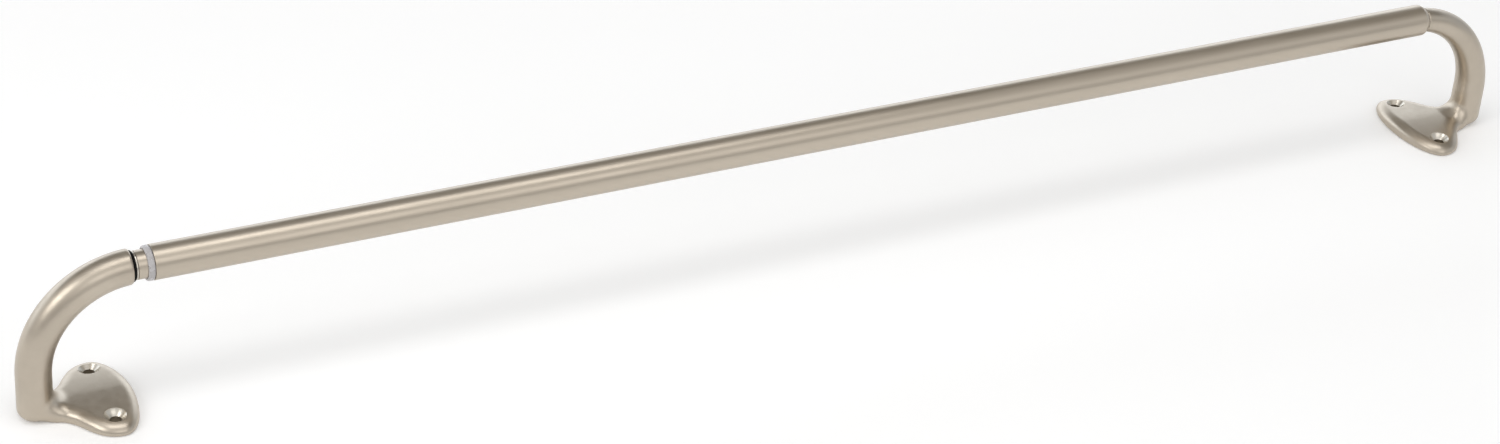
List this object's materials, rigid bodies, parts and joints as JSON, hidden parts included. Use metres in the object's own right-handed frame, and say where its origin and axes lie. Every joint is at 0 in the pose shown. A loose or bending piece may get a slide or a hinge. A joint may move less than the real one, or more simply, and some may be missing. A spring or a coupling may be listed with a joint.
{
  "type": "telescoping wrap-around curtain rod with brackets",
  "caption": "Satin nickel telescoping curtain rod whose curved end brackets return to the wall on kidney-shaped screw flanges, holding a curtain close round a window.",
  "frame": {"origin": "on the wall plane, midway between the two legs", "axes": "+X along the rod from the thin tube's end to the thick tube's end, +Z away from the wall, +Y along the wall across the rod"},
  "size_m": [0.786, 0.0576, 0.0752],
  "materials": {
    "satin_nickel_casting": "satin nickel plate on die-cast zinc, faintly uneven",
    "satin_nickel_tube": "satin nickel plate on drawn steel tube",
    "plated_steel": "bright zinc plate",
    "clear_plastic": "frosted clear moulding",
    "black_plastic": "matt moulding",
    "white_nylon": "natural nylon moulding"
  },
  "bodies": {
    "left_bracket": {"left_bracket": "satin_nickel_casting", "left_stud": "plated_steel", "left_spacer": "black_plastic"},
    "inner_rod": {"left_plug": "plated_steel", "inner_tube": "satin_nickel_tube"},
    "guide_bush": {"guide_bush": "white_nylon"},
    "outer_rod": {"mouth_ring": "clear_plastic", "outer_tube": "satin_nickel_tube", "right_plug": "plated_steel"},
    "right_bracket": {"right_stud": "plated_steel", "right_bracket": "satin_nickel_casting"}
  },
  "joints": [
    {"name": "left_elbow_turn", "type": "hinge", "parent": "left_bracket", "child": "inner_rod", "pos_m": [-0.3395, 0, 0.0672], "axis": [1, 0, 0], "continuous": true},
    {"name": "rod_turn", "type": "hinge", "parent": "inner_rod", "child": "guide_bush", "pos_m": [0.3, 0, 0.0672], "axis": [1, 0, 0], "continuous": true},
    {"name": "rod_slide", "type": "slide", "parent": "guide_bush", "child": "outer_rod", "axis": [1, 0, 0], "range_m": [-0.0051, 0.508]},
    {"name": "right_elbow_turn", "type": "hinge", "parent": "outer_rod", "child": "right_bracket", "pos_m": [0.3456, 0, 0.0672], "axis": [1, 0, 0], "continuous": true}
  ]
}
